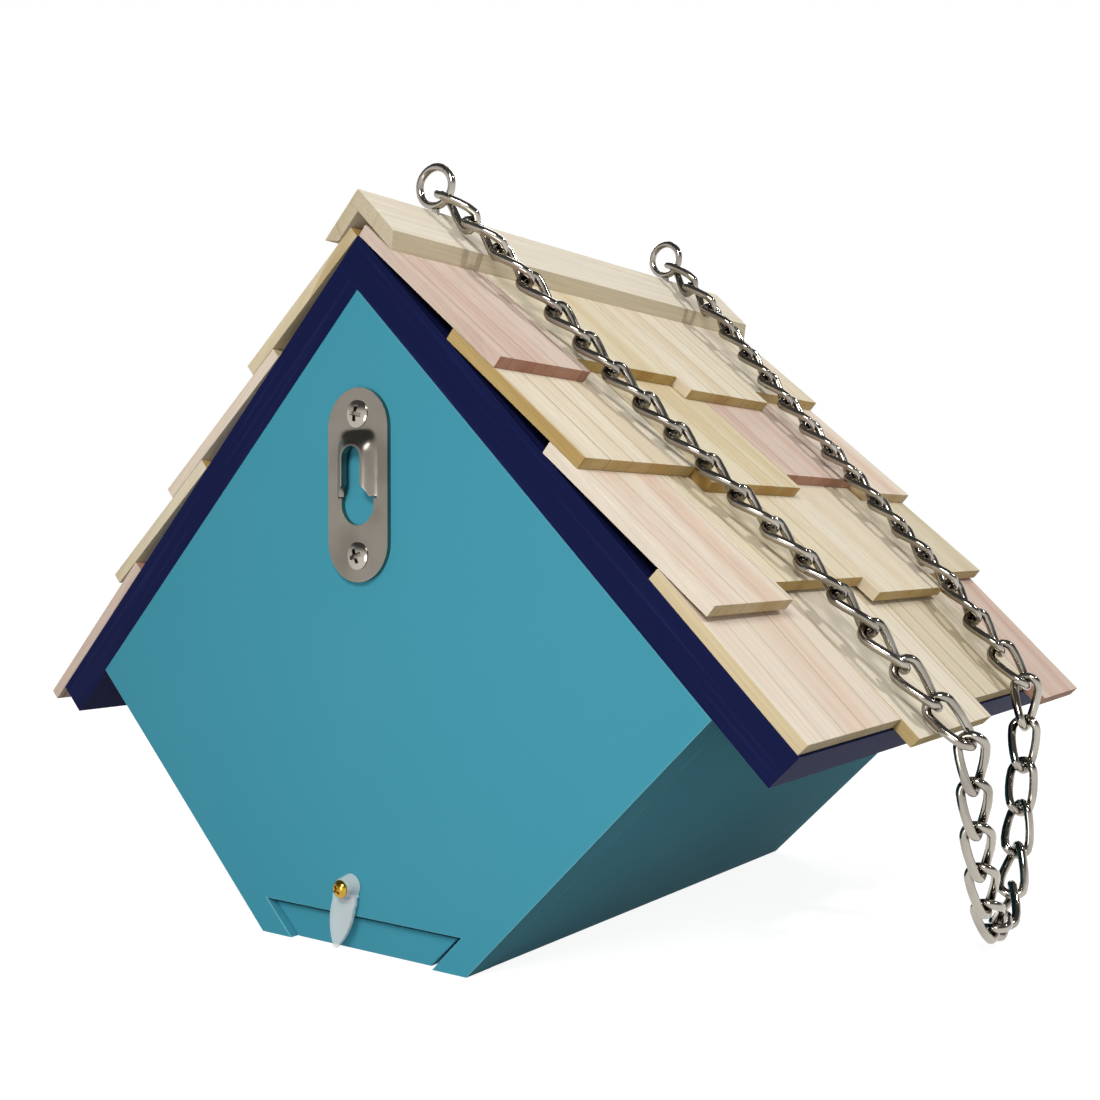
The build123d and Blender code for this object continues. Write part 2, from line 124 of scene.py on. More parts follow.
# Keyhole hanger, its heights from the middle of the plate
PLATE_T = 1.2 * MM
KEYHOLE = 5.0 * MM  # radius
KEYHOLE_Z = -4.3 * MM
SLOT = 2.85 * MM  # half its width
SLOT_Z = 6.15 * MM  # middle of its round top
HOOD_REACH = 4.0 * MM  # from the slot's edge to the hood's foot
HOOD_Z = -2.8 * MM  # where the hood is cut free
HOOD_RISE = 2.3 * MM
HOOD_STEP = 0.3 * MM  # faces that step more than that at the cut are torn out
HOOD_LIP = 1.8 * MM  # turned in round the slot
SPOKES_Z = -1.0 * MM  # middle of the sheet's spokes
SPOKES = 144
SPOKE_CUTS = 24
UPRIGHT = 0.001  # sine up to which a spoke counts as upright

# Cross recess of a screw, in shares of its head's width
RECESS_REACH = 0.72
RECESS_WIDTH = 0.2
RECESS_DEPTH = 0.2
RECESS_TAPER = 0.6  # share of the width that is left at the bottom

# Hanger screws
HANGER_HEAD = 6.4 * MM
HANGER_RIM = 0.25 * MM
HANGER_CROWN = 0.75 * MM
HANGER_SHANK = 3.0 * MM
HANGER_CONE = 1.5 * MM  # depth of its countersink
HANGER_LENGTH = 8.2 * MM
HANGER_TURNS = (20, -12)  # recess of the lower and of the upper screw, in degrees

# Turn button's screw
BRASS_HEAD = 4.2 * MM
BRASS_RIM = 0.2 * MM
BRASS_CROWN = 1.2 * MM
BRASS_SHANK = 2.2 * MM
BRASS_LENGTH = 11.0 * MM
BRASS_TURN = 35

# Turn button
LEAF_HOLLOW = 0.8 * MM  # the leaf is that much thinner than the flange of its boss
LEAF_LEAN = 14.5  # degrees
LEAF_NARROW = 0.9  # share of its width that is left below the boss
BOSS_HALF = 3.3 * MM
BOSS_WALL = (0.6 * BOSS_HALF, 1.02 * BOSS_HALF)  # points that far from the pivot are the boss's wall
BOSS_FRONT = 0.7  # share of its width that is left at its front and at its foot
BOSS_FOOT = 0.88
BOSS_EDGE = 0.1 * MM  # points that near to the front are its front edge

# Directions on the roof, down the slope and out of it
SLANT = math.sqrt(0.5)
SLOPES = {
    "right": (Vector((SLANT, 0, -SLANT)), Vector((SLANT, 0, SLANT))),
    "left": (Vector((-SLANT, 0, -SLANT)), Vector((-SLANT, 0, SLANT))),
}
ALONG_RIDGE = Vector((0, 1, 0))
ACROSS_BACK = Vector((1, 0, 0))

chance = random.Random(7)


# Mesh helpers


def select_only(piece):
    bpy.ops.object.select_all(action="DESELECT")
    piece.select_set(True)
    bpy.context.view_layer.objects.active = piece


def cover(piece, *materials):
    """Puts a piece wholly in the first of its materials."""
    piece.data.materials.clear()
    for material in materials:
        piece.data.materials.append(material)


def copy_of(node, *materials):
    """A new piece with a node's shape: its triangles merged and its flat faces made whole."""
    piece = bpy.data.objects.new(node + "_finished", NODES[node].data.copy())
    bpy.context.scene.collection.objects.link(piece)
    cover(piece, *materials)
    select_only(piece)
    bpy.ops.mesh.customdata_custom_splitnormals_clear()
    bpy.ops.object.mode_set(mode="EDIT")
    bpy.ops.mesh.select_all(action="SELECT")
    bpy.ops.mesh.remove_doubles(threshold=SAME_POINT)
    bpy.ops.mesh.dissolve_limited(angle_limit=math.radians(SAME_PLANE))
    bpy.ops.object.mode_set(mode="OBJECT")
    return piece


def apply_modifier(piece, kind, **settings):
    select_only(piece)
    modifier = piece.modifiers.new(kind.title(), kind)
    for name, value in settings.items():
        setattr(modifier, name, value)
    bpy.ops.object.modifier_apply(modifier=modifier.name)


def shade_by_angle(piece):
    select_only(piece)
    bpy.ops.object.shade_smooth_by_angle(angle=math.radians(SMOOTH))


def round_edges(piece, width, segments=2, wear_and_painted_light=-1):
    """Softens every sharp edge and keeps the large faces flat; the last argument is the slot of the rounded
    faces, whose colour can show wear and a painted highlight.
    """
    apply_modifier(
        piece,
        "BEVEL",
        width=width,
        segments=segments,
        limit_method="ANGLE",
        angle_limit=math.radians(SHARP),
        material=wear_and_painted_light,
    )
    shade_by_angle(piece)
    apply_modifier(piece, "WEIGHTED_NORMAL", weight=90, keep_sharp=True)


def cut_away(piece, cutter, **settings):
    """Takes a cutter's shape out of a piece, and removes the cutter."""
    apply_modifier(piece, "BOOLEAN", object=cutter, operation="DIFFERENCE", solver="EXACT", **settings)
    bpy.data.objects.remove(cutter)


def join(pieces, name):
    """One piece made of several."""
    select_only(pieces[0])
    for piece in pieces:
        piece.select_set(True)
    bpy.ops.object.join()
    pieces[0].name = name
    return pieces[0]


def turn_about(axis, degrees):
    return Matrix.Rotation(math.radians(degrees), 4, axis)


def lay_grain(piece, along, out, pith=(0, 0, 0), slant=0):
    """Gives each point its place in the log: across and out from the pith, and along the fibres."""
    points = np.array([v.co for v in piece.data.vertices])
    middle = (points.min(0) + points.max(0)) / 2
    fibre = (points - middle) @ np.array(along)
    across = (points - middle) @ np.array(along.cross(out)) + slant * fibre
    place = np.stack([across, (points - middle) @ np.array(out), fibre], axis=1) + np.array(pith)
    grain = piece.data.attributes.new("grain", "FLOAT_VECTOR", "POINT")
    grain.data.foreach_set("vector", place.astype(np.float32).ravel())


def put_in_place(piece, node, body):
    """Puts a finished piece in a node's place, on its body."""
    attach(piece, body)
    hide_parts(node)


# Material helpers


def linear(code):
    """An sRGB hex colour as linear red, green, blue and alpha."""
    parts = [int(code[i : i + 2], 16) / 255 for i in (1, 3, 5)]
    return [c / 12.92 if c <= 0.04045 else ((c + 0.055) / 1.055) ** 2.4 for c in parts] + [1]


def stretched(across, along):
    """The scale of a pattern in the grain, from the width and the length of its marks."""
    return 1 / across, 1 / across, 1 / along


def add(tree, kind, inputs=None, **settings):
    """A node with its settings. An input takes a value or another node's output."""
    node = tree.nodes.new(kind)
    for name, value in settings.items():
        setattr(node, name, value)
    for name, value in (inputs or {}).items():
        if isinstance(value, bpy.types.NodeSocket):
            tree.links.new(value, node.inputs[name])
        else:
            node.inputs[name].default_value = value
    return node


def new_material(name, **settings):
    """A material with one Principled shader; settings are constants on its sockets."""
    material = bpy.data.materials.new(name)
    material.use_nodes = True
    tree = material.node_tree
    tree.nodes.clear()
    shader = add(tree, "ShaderNodeBsdfPrincipled", {k.replace("_", " "): v for k, v in settings.items()})
    add(tree, "ShaderNodeOutputMaterial", {"Surface": shader.outputs["BSDF"]})
    return material, tree, shader


def late_lines(tree, grain, strength):
    """How much each point is late wood: lines of strong and of weak years, on rings that wander."""
    # The rings wander by 3 mm to each side
    slow = add(tree, "ShaderNodeMapping", {"Vector": grain, "Scale": stretched(25 * MM, 200 * MM)})
    wander = add(tree, "ShaderNodeTexNoise", {"Vector": slow.outputs["Vector"], "Scale": 1, "Detail": 1})
    shifted = add(
        tree,
        "ShaderNodeVectorMath",
        {0: wander.outputs["Color"], 1: (6 * MM, 6 * MM, 0), 2: grain},
        operation="MULTIPLY_ADD",
    )
    # Strong years 9 mm apart, and weak ones 2.6 mm apart
    lines = []
    for apart, start, darkest in ((9 * MM, 0.88, 1), (2.6 * MM, 0.6, 0.14)):
        years = add(
            tree,
            "ShaderNodeTexWave",
            {"Vector": shifted.outputs["Vector"], "Scale": math.pi / 10 / apart},
            wave_type="RINGS",
            rings_direction="Z",
            wave_profile="SAW",
        )
        line = add(
            tree,
            "ShaderNodeMapRange",
            {"Value": years.outputs["Fac"], "From Min": start, "From Max": 0.98, "To Max": darkest},
            interpolation_type="SMOOTHSTEP",
        )
        lines.append(line.outputs[0])
    strong, weak = lines
    # The strong lines fade where the rings wander to one side
    fade = add(
        tree,
        "ShaderNodeMapRange",
        {"Value": wander.outputs["Fac"], "From Min": 0.35, "From Max": 0.62, "To Min": 0.15},
    )
    faded = add(tree, "ShaderNodeMath", {0: strong, 1: fade.outputs[0]}, operation="MULTIPLY")
    either = add(tree, "ShaderNodeMath", {0: faded.outputs[0], 1: weak}, operation="MAXIMUM")
    return add(tree, "ShaderNodeMath", {0: either.outputs[0], 1: strength}, operation="MULTIPLY").outputs[0]


def softwood(name, pale, streak, late, strength):
    """Sawn, unfinished softwood: pale early wood with broad warmer streaks, thin late-wood lines of uneven
    strength, and fine fibres."""
    material, tree, shader = new_material(name, Roughness=0.65, IOR=1.5, Specular_IOR_Level=0.25)
    grain = add(tree, "ShaderNodeAttribute", attribute_name="grain").outputs["Vector"]
    # Broad streaks tint the early wood
    broad = add(tree, "ShaderNodeMapping", {"Vector": grain, "Scale": stretched(12.5 * MM, 400 * MM)})
    streaks = add(tree, "ShaderNodeTexNoise", {"Vector": broad.outputs["Vector"], "Scale": 1, "Detail": 2})
    warm = add(
        tree,
        "ShaderNodeMapRange",
        {"Value": streaks.outputs["Fac"], "From Min": 0.42, "From Max": 0.68},
        interpolation_type="SMOOTHSTEP",
    )
    early = add(
        tree,
        "ShaderNodeMix",
        {"Factor": warm.outputs[0], "A": linear(pale), "B": linear(streak)},
        data_type="RGBA",
    )
    ringed = add(
        tree,
        "ShaderNodeMix",
        {"Factor": late_lines(tree, grain, strength), "A": early.outputs[2], "B": linear(late)},
        data_type="RGBA",
    )
    # Fibres, drawn coarser than real ones so that they show
    fine = add(tree, "ShaderNodeMapping", {"Vector": grain, "Scale": stretched(0.588 * MM, 25 * MM)})
    fibres = add(tree, "ShaderNodeTexNoise", {"Vector": fine.outputs["Vector"], "Scale": 1, "Detail": 3})
    shade = add(
        tree,
        "ShaderNodeMapRange",
        {"Value": fibres.outputs["Fac"], "From Min": 0.3, "From Max": 0.7, "To Min": 0.91, "To Max": 1.06},
    )
    toned = add(
        tree,
        "ShaderNodeVectorMath",
        {0: ringed.outputs[2], "Scale": shade.outputs[0]},
        operation="SCALE",
    )
    tree.links.new(toned.outputs["Vector"], shader.inputs["Base Color"])
    bump = add(
        tree,
        "ShaderNodeBump",
        {"Height": fibres.outputs[0], "Strength": 0.3, "Distance": 0.15 * MM},
    )
    tree.links.new(bump.outputs["Normal"], shader.inputs["Normal"])
    return material


def satin_paint(name, colour, cloud):
    """Roller-coated satin paint on board: an even colour, faint cloudiness and a fine stipple."""
    material, tree, shader = new_material(name, Roughness=0.55, IOR=1.48, Specular_IOR_Level=0.02)
    place = add(tree, "ShaderNodeTexCoord").outputs["Object"]
    clouds = add(tree, "ShaderNodeTexNoise", {"Vector": place, "Scale": 1 / (40 * MM), "Detail": 3})
    mixed = add(
        tree,
        "ShaderNodeMix",
        {"Factor": clouds.outputs["Fac"], "A": linear(colour), "B": linear(cloud)},
        data_type="RGBA",
    )
    tree.links.new(mixed.outputs[2], shader.inputs["Base Color"])
    stipple = add(tree, "ShaderNodeTexNoise", {"Vector": place, "Scale": 1 / (0.909 * MM), "Detail": 1})
    bump = add(tree, "ShaderNodeBump", {"Height": stipple.outputs[0], "Strength": 0.1, "Distance": 0.1 * MM})
    tree.links.new(bump.outputs["Normal"], shader.inputs["Normal"])
    return material


def brushed_paint(name, colour, streak):
    """Brush-coated paint on board: hair strokes along the board, a little paler where it is thin."""
    material, tree, shader = new_material(name, Roughness=0.6, IOR=1.48, Specular_IOR_Level=0.06)
    grain = add(tree, "ShaderNodeAttribute", attribute_name="grain").outputs["Vector"]
    hairs = add(tree, "ShaderNodeMapping", {"Vector": grain, "Scale": stretched(1.25 * MM, 62.5 * MM)})
    strokes = add(tree, "ShaderNodeTexNoise", {"Vector": hairs.outputs["Vector"], "Scale": 1, "Detail": 4})
    thin = add(
        tree,
        "ShaderNodeMapRange",
        {"Value": strokes.outputs["Fac"], "From Min": 0.5, "From Max": 0.8},
        interpolation_type="SMOOTHSTEP",
    )
    mixed = add(
        tree,
        "ShaderNodeMix",
        {"Factor": thin.outputs[0], "A": linear(colour), "B": linear(streak)},
        data_type="RGBA",
    )
    tree.links.new(mixed.outputs[2], shader.inputs["Base Color"])
    bump = add(
        tree,
        "ShaderNodeBump",
        {"Height": strokes.outputs[0], "Strength": 0.3, "Distance": 0.15 * MM},
    )
    tree.links.new(bump.outputs["Normal"], shader.inputs["Normal"])
    return material


def plated_metal(name, colour, grime_and_shade, roughness, grit):
    """Plated or polished metal: a mirror clouded by fine handling marks, with a film of dirt in clouds, and
    painted shade that darkens its colour where another surface is near.
    """
    material, tree, shader = new_material(name, Metallic=1.0)
    place = add(tree, "ShaderNodeTexCoord").outputs["Object"]
    marks = add(tree, "ShaderNodeTexNoise", {"Vector": place, "Scale": 1 / grit, "Detail": 3})
    clouded = add(
        tree,
        "ShaderNodeMapRange",
        {
            "Value": marks.outputs["Fac"],
            "From Min": 0.3,
            "From Max": 0.7,
            "To Min": roughness * 0.8,
            "To Max": roughness * 1.3,
        },
    )
    tree.links.new(clouded.outputs[0], shader.inputs["Roughness"])
    # Painted shade where another surface is near, in crevices and where links touch, and a thin film of dirt
    # in clouds
    open_side = add(tree, "ShaderNodeAmbientOcclusion", {"Distance": 1.5 * MM}, samples=6, only_local=True)
    film = add(tree, "ShaderNodeTexNoise", {"Vector": place, "Scale": 1 / (15 * MM), "Detail": 2})
    bright = add(
        tree,
        "ShaderNodeMapRange",
        {"Value": film.outputs["Fac"], "From Min": 0.35, "From Max": 0.65, "To Min": 0.6, "To Max": 1},
        interpolation_type="SMOOTHSTEP",
    )
    unshaded_and_clean = add(
        tree,
        "ShaderNodeMath",
        {0: open_side.outputs["AO"], 1: bright.outputs[0]},
        operation="MULTIPLY",
    )
    # The dark colour stands for painted shade near other surfaces and for the film of dirt in clouds
    wear_and_painted_light = add(
        tree,
        "ShaderNodeMix",
        {"Factor": unshaded_and_clean.outputs[0], "A": linear(grime_and_shade), "B": linear(colour)},
        data_type="RGBA",
    )
    tree.links.new(wear_and_painted_light.outputs[2], shader.inputs["Base Color"])
    return material


def moulded_plastic(name, colour):
    """Translucent polypropylene: milky, soft gloss, with light passing through and faint flow marks."""
    material, tree, shader = new_material(
        name, Roughness=0.25, IOR=1.45, Alpha=0.45, Subsurface_Weight=0.3, Subsurface_Scale=2 * MM
    )
    shader.inputs["Base Color"].default_value = linear(colour)
    place = add(tree, "ShaderNodeTexCoord").outputs["Object"]
    flow = add(tree, "ShaderNodeTexNoise", {"Vector": place, "Scale": 1 / (3.03 * MM), "Detail": 2})
    bump = add(tree, "ShaderNodeBump", {"Height": flow.outputs[0], "Strength": 0.1, "Distance": 0.1 * MM})
    tree.links.new(bump.outputs["Normal"], shader.inputs["Normal"])
    return material


TEAL = satin_paint("teal_satin_paint", "#4295A9", "#4897AB")
# Paler teal on the rounded edges: rubbed paint, and a painted highlight where the edges catch the light
TEAL_RUBBED_AND_HIGHLIT = satin_paint("teal_paint_rubbed_and_highlit_at_edges", "#86C2CE", "#5CA8B9")
NAVY = brushed_paint("navy_brushed_paint", "#111740", "#1E2454")
NAVY_WORN = brushed_paint("navy_paint_worn_at_edges", "#1B2252", "#3A417A")
BARE = softwood("bare_board_inside", "#DCCBA8", "#D2BC92", "#B39662", 0.6)
WOODS = {
    "cream": softwood("shingle_cream", "#E6DBC5", "#DDCDB1", "#B79F74", 0.8),
    "yellow": softwood("shingle_yellow", "#E1D5B9", "#D6C49E", "#AF955E", 0.8),
    "pink": softwood("shingle_pink", "#D8C3B3", "#CDAF9E", "#98755F", 0.8),
    "blush": softwood("shingle_blush", "#E6D9C6", "#DEC5B0", "#B89B7C", 0.6),
    "grey": softwood("shingle_grey", "#DACEB4", "#CABA99", "#A08A62", 0.8),
    "cap": softwood("cap_wood", "#E2D8C5", "#DBCEB5", "#C6B48C", 0.45),
}
SAWN = {
    "cream": softwood("sawn_end_cream", "#CBB27C", "#BF9F62", "#9A7A42", 0.4),
    "yellow": softwood("sawn_end_yellow", "#C5A96C", "#B58F4E", "#8E6C34", 0.4),
    "pink": softwood("sawn_end_pink", "#BC8F7B", "#AD7A64", "#855543", 0.4),
    "blush": softwood("sawn_end_blush", "#D5C29C", "#C8B083", "#A28A5C", 0.4),
    "grey": softwood("sawn_end_grey", "#BFA97D", "#AF9663", "#8A6E40", 0.4),
    "cap": softwood("sawn_end_cap", "#CBBDA0", "#BFAE8A", "#A58F63", 0.4),
}
# Each metal's dark second colour is a film of dirt and painted shade near other surfaces
PLATE_NICKEL = plated_metal("nickel_plated_sheet", "#8E887E", "#5A544C", 0.2, 4 * MM)
CHAIN_NICKEL = plated_metal("nickel_plated_wire", "#B0AAA0", "#4A423A", 0.1, 2 * MM)
BRASS = plated_metal("brass_screw", "#D9B04A", "#8A6420", 0.14, 2 * MM)
PLASTIC = moulded_plastic("translucent_polypropylene", "#F4F8F8")

# Which wood each shingle was cut from, by course and column: photographed on the right slope, guessed on
# the left, of which only the near edges are seen
ROOF_WOODS = {
    "right": (
        ("pink", "yellow", "cream", "cream"),
        ("cream", "yellow", "pink", "blush"),
        ("blush", "yellow", "cream", "grey"),
        ("blush", "cream", "grey", "pink"),
    ),
    "left": (
        ("yellow", "cream", "pink", "cream"),
        ("blush", "grey", "cream", "yellow"),
        ("yellow", "cream", "blush", "cream"),
        ("pink", "yellow", "cream", "blush"),
    ),
}


# Box


def fit_floor(board):
    """Makes the sliding floor narrower on its right, and lowers all but its underside."""
    for corner in board.data.vertices:
        if corner.co.x > 0:
            corner.co.x -= FLOOR_NARROWER
        if corner.co.z > FLOOR_LOWER:
            corner.co.z -= FLOOR_LOWER


def paint_boards():
    """The five teal boards, all but the floor bare on the side that faces the nest."""
    inward = {
        "back_panel": (0, 1, 0),
        "front_panel": (0, -1, 0),
        "left_wall": (SLANT, 0, SLANT),
        "right_wall": (-SLANT, 0, SLANT),
        "sliding_floor": (0, 0, 1),
    }
    for node, facing in inward.items():
        is_floor = node == "sliding_floor"
        board = copy_of(node, TEAL, TEAL_RUBBED_AND_HIGHLIT, BARE)
        if is_floor:
            fit_floor(board)
        # All but the floor get the paler teal on their rounded edges, which is partly a painted highlight
        round_edges(board, PAINT_EDGE, wear_and_painted_light=FACE if is_floor else EDGE)
        inside = Vector(facing)
        lay_grain(board, ACROSS_BACK if inside.y else ALONG_RIDGE, inside, BOARD_PITH)
        put_in_place(board, node, "house")
        for face in board.data.polygons:
            if not is_floor and face.normal.dot(inside) > FLAT_ON:
                face.material_index = INSIDE


# Roof


def paint_roof_boards():
    for side, (down, out) in SLOPES.items():
        node = side + "_roof_board"
        board = copy_of(node, NAVY, NAVY_WORN)
        round_edges(board, PAINT_EDGE, wear_and_painted_light=EDGE)
        lay_grain(board, down, out)
        put_in_place(board, node, "house")


def cut_board(node, wood, along, out, darker_sides=False):
    """A sawn board with its own place in the log. Its ends, and darker sides, are the second material."""
    board = copy_of(node, WOODS[wood], SAWN[wood])
    round_edges(board, SAWN_EDGE)
    aside = chance.choice((-1, 1)) * chance.uniform(*PITH_ASIDE)
    pith = (aside, chance.uniform(*PITH_BELOW), chance.uniform(0, LOG_LENGTH))
    lay_grain(board, along, out, pith, chance.uniform(-FIBRE_SLANT, FIBRE_SLANT))
    put_in_place(board, node, "house")
    for face in board.data.polygons:
        end = abs(face.normal.dot(along)) > TURNED_TO
        side = darker_sides and abs(face.normal.dot(out)) < TURNED_TO
        face.material_index = EDGE if end or side else FACE


def lay_roof():
    for side, woods in ROOF_WOODS.items():
        down, out = SLOPES[side]
        for course, row in enumerate(woods, 1):
            darker = side == "right" and course % 2 == 0
            for column, wood in enumerate(row, 1):
                cut_board(f"shingle_{side}_{course}_{column}", wood, down, out, darker)
        cut_board("ridge_cap_" + side, "cap", ALONG_RIDGE, out, darker_sides=True)


# Chain


def wire_mesh(name, points, thickness, closed):
    """Round wire along a smooth line through the points, as a mesh."""
    curve = bpy.data.curves.new(name, "CURVE")
    curve.dimensions = "3D"
    curve.bevel_depth = thickness / 2
    curve.bevel_resolution = 3
    curve.resolution_u = 4
    curve.use_fill_caps = not closed
    spline = curve.splines.new("BEZIER")
    spline.bezier_points.add(len(points) - 1)
    spline.use_cyclic_u = closed
    for knot, point in zip(spline.bezier_points, points):
        knot.co = point
        knot.handle_left_type = knot.handle_right_type = "AUTO"
    wire = bpy.data.objects.new(name, curve)
    bpy.context.scene.collection.objects.link(wire)
    select_only(wire)
    bpy.ops.object.convert(target="MESH")
    wire = bpy.context.view_layer.objects.active
    bpy.ops.object.shade_smooth()
    return wire


def twisted_link():
    """One link along Z: a long oval of wire, twisted by a quarter turn from end to end."""
    shoulder = LINK_HALF - LINK_BEND
    points = []
    for angle in np.radians(np.arange(0, 360, LINK_STEP)):
        out = LINK_BEND * math.cos(angle)
        up = LINK_BEND * math.sin(angle)
        # The two points at the sides count as the upper end's
        height = up + (shoulder if up > -SAME_POINT else -shoulder)
        twist = -math.pi / 4 * (height / LINK_HALF + 1)
        points.append((out * math.cos(twist), out * math.sin(twist), height))
    return wire_mesh("link", points, WIRE, True)


def main_direction(points):
    """The direction in which points spread most."""
    centred = points - points.mean(0)
    return np.linalg.svd(centred, full_matrices=False)[2][0]


def link_place(solid):
    """The frame of a link, from the points of its solid: Z runs up it, X lies across its lower end."""
    points = np.array([v.co for v in solid.data.vertices])
    middle = points.mean(0)
    run = main_direction(points)
    run *= math.copysign(1, run[2])
    along = (points - middle) @ run
    lower = points[along < -LINK_HALF / 2]
    flat = lower - np.outer((lower - middle) @ run, run)
    spread = main_direction(flat)
    side = np.cross(run, spread)
    turn = Matrix((spread, side, run)).transposed().to_4x4()
    return Matrix.Translation(middle) @ turn


def make_chain():
    """Puts a twisted link in the place of each link's solid."""
    link = twisted_link()
    bodies = {
        "chain_rear_strand": "chain_strands",
        "chain_front_strand": "chain_strands",
        "chain_loop": "hanging_loop",
    }
    for node, body in bodies.items():
        copy_of(node)
        bpy.ops.mesh.separate(type="LOOSE")
        solids = list(bpy.context.selected_objects)
        places = [link_place(solid) for solid in solids]
        for solid in solids:
            bpy.data.objects.remove(solid)
        heights = [place.translation.z for place in places]
        links = []
        for place, height in zip(places, heights):
            share = (max(heights) - height) / (max(heights) - min(heights))
            roll = np.interp(share, *zip(*STRAND_ROLLS[node]))
            copy = bpy.data.objects.new("link_copy", link.data.copy())
            copy.data.transform(place @ turn_about("Z", roll))
            bpy.context.scene.collection.objects.link(copy)
            links.append(copy)
        chain = join(links, node + "_finished")
        cover(chain, CHAIN_NICKEL)
        put_in_place(chain, node, body)
    bpy.data.objects.remove(link)


# Hardware


def turned(name, outline):
    """A solid turned about Z from an outline of radius and height, its ends on the axis."""
    mesh = bpy.data.meshes.new(name)
    edges = [(i, i + 1) for i in range(len(outline) - 1)]
    mesh.from_pydata([(radius, 0, height) for radius, height in outline], edges, [])
    piece = bpy.data.objects.new(name, mesh)
    bpy.context.scene.collection.objects.link(piece)
    select_only(piece)
    bpy.ops.object.mode_set(mode="EDIT")
    bpy.ops.mesh.select_all(action="SELECT")
    bpy.ops.mesh.spin(steps=TURN_STEPS, angle=2 * math.pi, center=(0, 0, 0), axis=(0, 0, 1))
    bpy.ops.mesh.select_all(action="SELECT")
    bpy.ops.mesh.remove_doubles(threshold=SAME_POINT)
    bpy.ops.mesh.normals_make_consistent(inside=False)
    bpy.ops.object.mode_set(mode="OBJECT")
    return piece


def cross_cutter(head, top):
    """Two crossed wedges, narrower at the bottom, that cut a driver's recess."""
    reach = RECESS_REACH * head
    width = RECESS_WIDTH * head
    wedges = []
    for length, thickness in ((reach, width), (width, reach)):
        bpy.ops.object.select_all(action="DESELECT")
        bpy.ops.mesh.primitive_cube_add(size=1, location=(0, 0, top))
        wedge = bpy.context.active_object
        wedge.scale = (length, thickness, 2 * RECESS_DEPTH * head)
        bpy.ops.object.transform_apply(location=True, rotation=True, scale=True)
        for corner in wedge.data.vertices:
            if corner.co.z < top:
                corner.co.x *= RECESS_TAPER
                corner.co.y *= RECESS_TAPER
        wedges.append(wedge)
    return join(wedges, "recess")


def cross_head_screw(name, head, rim, crown, cone, shank, length):
    """A cross-head screw along -Z, the underside of its rim at the origin."""
    radius = (head**2 / 4 + crown**2) / (2 * crown)
    sweep = math.asin(head / 2 / radius)
    dome = []
    for angle in np.linspace(0, sweep, DOME_STEPS + 1):
        dome.append((radius * math.sin(angle), rim + crown - radius * (1 - math.cos(angle))))
    stem = [(head / 2, 0), (shank / 2, -cone), (shank / 2, -length + shank), (0, -length)]
    screw = turned(name, dome + stem)
    cut_away(screw, cross_cutter(head, rim + crown), use_self=True)
    round_edges(screw, RECESS_EDGE)
    return screw


def drive_into_back(screw, place, turn):
    """Turns a screw so that it points into the back panel, its rim's underside at the place."""
    screw.data.transform(Matrix.Translation(place) @ turn_about("X", 90) @ turn_about("Z", turn))


def make_hanger_screws():
    low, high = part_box("hanger_screws")
    plate_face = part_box("back_panel")[0].y - PLATE_T
    screws = []
    for z, turn in zip((low.z + HANGER_HEAD / 2, high.z - HANGER_HEAD / 2), HANGER_TURNS):
        screw = cross_head_screw(
            "hanger_screw", HANGER_HEAD, HANGER_RIM, HANGER_CROWN, HANGER_CONE, HANGER_SHANK, HANGER_LENGTH
        )
        drive_into_back(screw, ((low.x + high.x) / 2, plate_face, z), turn)
        screws.append(screw)
    pair = join(screws, "hanger_screws_finished")
    cover(pair, CHAIN_NICKEL)
    put_in_place(pair, "hanger_screws", "house")


def make_brass_screw():
    low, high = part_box("turn_button_screw")
    screw = cross_head_screw(
        "turn_button_screw_finished", BRASS_HEAD, BRASS_RIM, BRASS_CROWN, 0, BRASS_SHANK, BRASS_LENGTH
    )
    seat = low.y + BRASS_RIM + BRASS_CROWN
    drive_into_back(screw, ((low.x + high.x) / 2, seat, (low.z + high.z) / 2), BRASS_TURN)
    cover(screw, BRASS)
    put_in_place(screw, "turn_button_screw", "house")


def make_screw_eyes():
    """Open rings of round wire on pointed shanks."""
    low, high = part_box("eye_screws")
    middle = JOINTS["chain_swing"]["pos_m"][2]
    half = EYE_WIRE / 2
    first = EYE_OPENING_AT + EYE_OPENING / 2
    last = first + 360 - EYE_OPENING
    angles = np.radians(np.linspace(first, last, EYE_POINTS))
    circle = [(EYE_RING * math.cos(angle), 0, EYE_RING * math.sin(angle)) for angle in angles]
    pieces = []
    for y, turn in zip((low.y + half, high.y - half), EYE_TURNS):
        ring = wire_mesh("ring", circle, EYE_WIRE, False)
        ring.data.transform(Matrix.Translation((0, y, middle)) @ turn_about("Z", turn))
        shank = turned("shank", [(0, 0), (half, -half), (half, -EYE_SHANK + EYE_WIRE), (0, -EYE_SHANK)])
        shank.data.transform(Matrix.Translation((0, y, middle - EYE_RING)))
        shade_by_angle(shank)
        pieces += [ring, shank]
    eyes = join(pieces, "eye_screws_finished")
    cover(eyes, CHAIN_NICKEL)
    put_in_place(eyes, "eye_screws", "house")


def capsule_reach(turn, start, low, high, radius):
    """How far a ray from the axis runs, at an angle from straight up, until it leaves an upright capsule."""
    across = math.sin(turn)
    up = math.cos(turn)
    if abs(across) > UPRIGHT:
        side = radius / abs(across)
        if low <= start + side * up <= high:
            return side
    end = (high if up > 0 else low) - start
    return end * up + math.sqrt(radius**2 - (end * across) ** 2)


def hood_rise(x, z):
    """How far the hood stands off the plate: all round the slot, and falling off smoothly to its foot."""
    if z < HOOD_Z:
        return 0
    above = max(0, z - SLOT_Z)
    share = min(1, max(0, (math.hypot(x, above) - SLOT) / HOOD_REACH))
    # Round at the slot, squarer towards the foot
    square = ((x**4 + above**4) ** 0.25 - SLOT) / HOOD_REACH
    share = min(1, max(0, share + share * (square - share)))
    return HOOD_RISE * (1 - 3 * share**2 + 2 * share**3)


